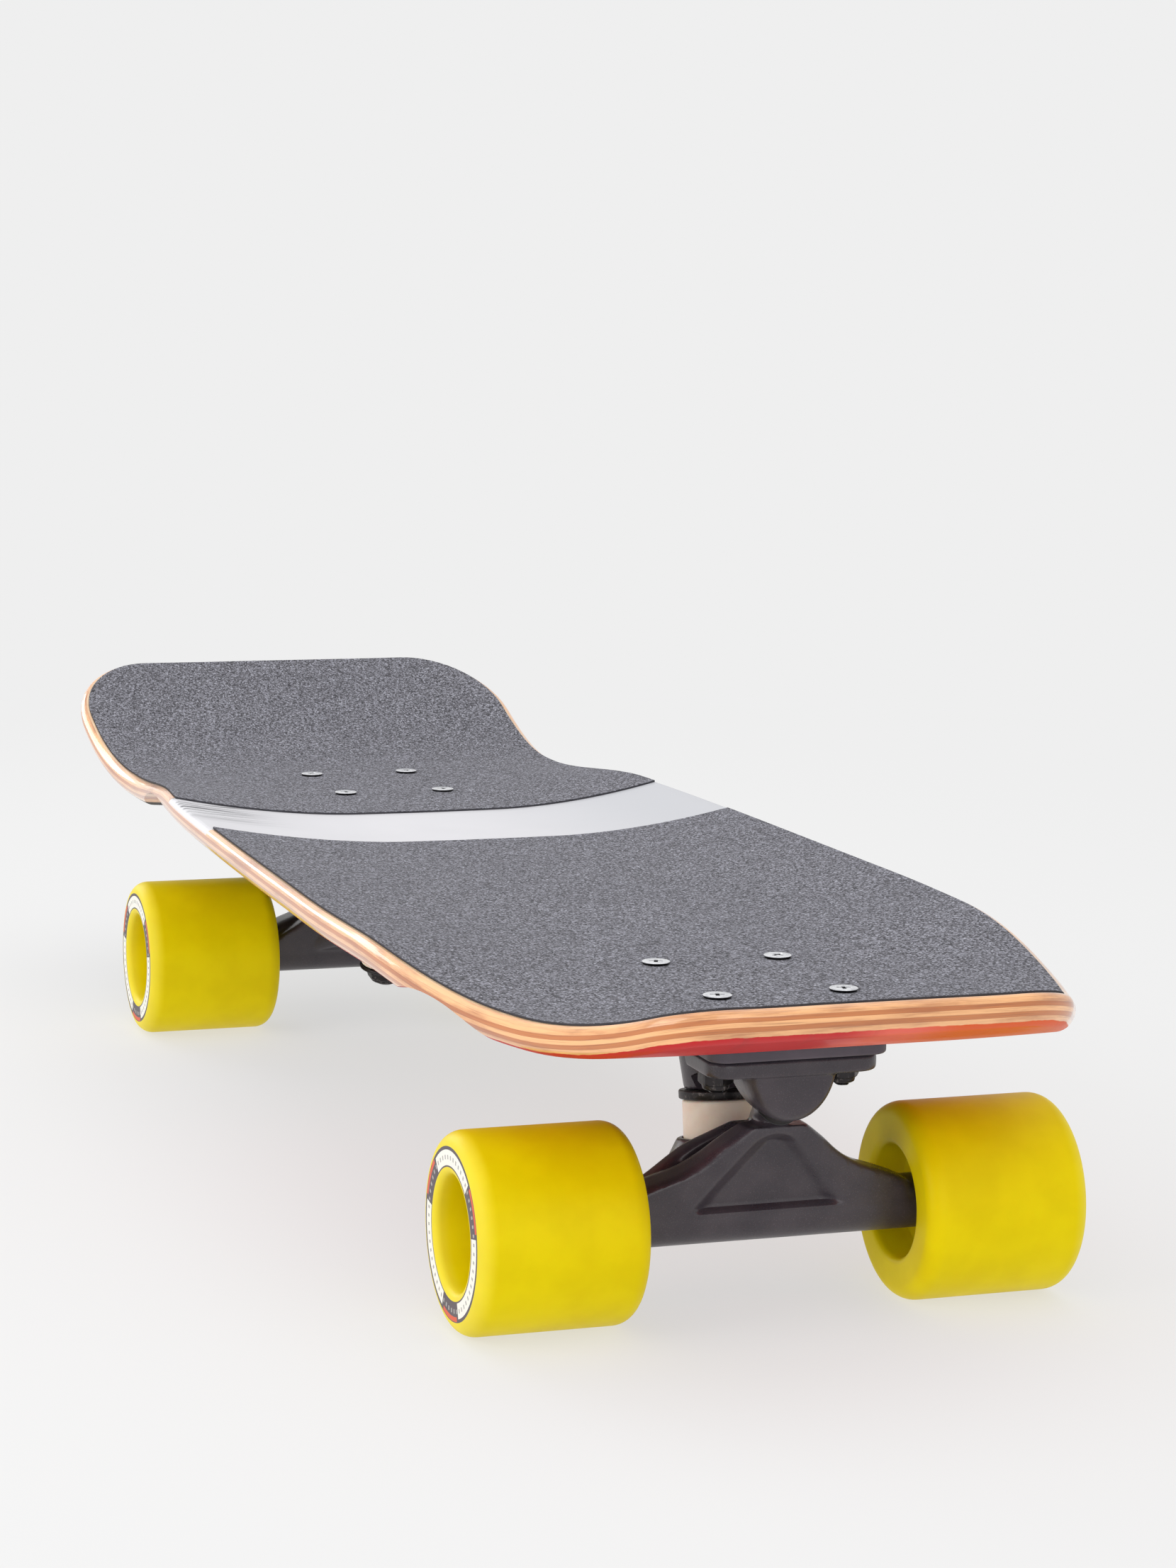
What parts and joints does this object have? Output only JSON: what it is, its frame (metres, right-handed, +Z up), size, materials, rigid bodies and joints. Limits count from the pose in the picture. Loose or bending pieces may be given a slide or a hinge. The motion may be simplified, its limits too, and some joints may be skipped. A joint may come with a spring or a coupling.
{
  "type": "cruiser skateboard",
  "caption": "Cruiser skateboard with a squared tail and snub nose, split grip tape, riser pads, sprung kingpin trucks that steer, and wide soft wheels that spin.",
  "frame": {"origin": "on the ground, under the middle of the board's length and width", "axes": "+X towards the nose, +Y to the rider's left when facing the nose, +Z up"},
  "size_m": [0.707, 0.2194, 0.1351],
  "materials": {
    "maple": "seven maple plies with rounded, clear-lacquered edges; the underside is painted from charcoal at the tail to red and orange at the nose, and the bare band on top is silver-white",
    "grip_tape": "charcoal silicon-carbide grit on a thin backing",
    "riser_plastic": "matt black moulded riser pad",
    "black_casting": "satin black powder coat over cast aluminium",
    "cup_plastic": "black urethane cup",
    "kingpin_steel": "zinc-plated steel",
    "bushing_urethane": "satin cream urethane",
    "black_steel": "black oxide with worn bright edges",
    "bolt_steel": "bright zinc with a dark cross recess",
    "axle_steel": "plain steel",
    "wheel_urethane": "translucent yellow urethane with a plain printed ring on the outer face",
    "bearing_steel": "polished steel races and a black shield"
  },
  "bodies": {
    "board": {"deck": "maple", "griptape_front": "grip_tape", "griptape_rear": "grip_tape", "riser_front": "riser_plastic", "baseplate_front": "black_casting", "pivot_cup_front": "cup_plastic", "kingpin_front": "kingpin_steel", "kingpin_nut_front": "kingpin_steel", "bushing_board_front": "bushing_urethane", "bushing_road_front": "bushing_urethane", "washer_board_front": "black_steel", "washer_road_front": "black_steel", "deck_bolt_front_1": "bolt_steel", "deck_nut_front_1": "black_steel", "deck_bolt_front_2": "bolt_steel", "deck_nut_front_2": "black_steel", "deck_bolt_front_3": "bolt_steel", "deck_nut_front_3": "black_steel", "deck_bolt_front_4": "bolt_steel", "deck_nut_front_4": "black_steel", "riser_rear": "riser_plastic", "baseplate_rear": "black_casting", "pivot_cup_rear": "cup_plastic", "kingpin_rear": "kingpin_steel", "kingpin_nut_rear": "kingpin_steel", "bushing_board_rear": "bushing_urethane", "bushing_road_rear": "bushing_urethane", "washer_board_rear": "black_steel", "washer_road_rear": "black_steel", "deck_bolt_rear_1": "bolt_steel", "deck_nut_rear_1": "black_steel", "deck_bolt_rear_2": "bolt_steel", "deck_nut_rear_2": "black_steel", "deck_bolt_rear_3": "bolt_steel", "deck_nut_rear_3": "black_steel", "deck_bolt_rear_4": "bolt_steel", "deck_nut_rear_4": "black_steel"},
    "front_hanger": {"hanger_front": "black_casting", "axle_front": "axle_steel", "axle_nut_front_left": "axle_steel", "axle_nut_front_right": "axle_steel"},
    "rear_hanger": {"hanger_rear": "black_casting", "axle_rear": "axle_steel", "axle_nut_rear_left": "axle_steel", "axle_nut_rear_right": "axle_steel"},
    "front_left_wheel": {"wheel_front_left": "wheel_urethane", "bearing_front_left_inner": "bearing_steel", "bearing_front_left_outer": "bearing_steel"},
    "front_right_wheel": {"wheel_front_right": "wheel_urethane", "bearing_front_right_inner": "bearing_steel", "bearing_front_right_outer": "bearing_steel"},
    "rear_left_wheel": {"wheel_rear_left": "wheel_urethane", "bearing_rear_left_inner": "bearing_steel", "bearing_rear_left_outer": "bearing_steel"},
    "rear_right_wheel": {"wheel_rear_right": "wheel_urethane", "bearing_rear_right_inner": "bearing_steel", "bearing_rear_right_outer": "bearing_steel"}
  },
  "joints": [
    {"name": "front_steering", "type": "hinge", "parent": "board", "child": "front_hanger", "pos_m": [0.2282, 0, 0.0425], "axis": [0.8635, 0, 0.5043], "range_deg": [-14, 14], "stiffness_Nm_per_rad": 60, "deforming": ["bushing_board_front", "bushing_road_front"]},
    {"name": "rear_steering", "type": "hinge", "parent": "board", "child": "rear_hanger", "pos_m": [-0.1572, 0, 0.0425], "axis": [-0.8635, 0, 0.5043], "range_deg": [-14, 14], "stiffness_Nm_per_rad": 60, "deforming": ["bushing_board_rear", "bushing_road_rear"]},
    {"name": "front_left_spin", "type": "hinge", "parent": "front_hanger", "child": "front_left_wheel", "pos_m": [0.2591, 0.07215, 0.03127], "axis": [0, 1, 0], "continuous": true},
    {"name": "front_right_spin", "type": "hinge", "parent": "front_hanger", "child": "front_right_wheel", "pos_m": [0.2591, -0.07215, 0.03127], "axis": [0, 1, 0], "continuous": true},
    {"name": "rear_left_spin", "type": "hinge", "parent": "rear_hanger", "child": "rear_left_wheel", "pos_m": [-0.1881, 0.07215, 0.03127], "axis": [0, 1, 0], "continuous": true},
    {"name": "rear_right_spin", "type": "hinge", "parent": "rear_hanger", "child": "rear_right_wheel", "pos_m": [-0.1881, -0.07215, 0.03127], "axis": [0, 1, 0], "continuous": true}
  ]
}
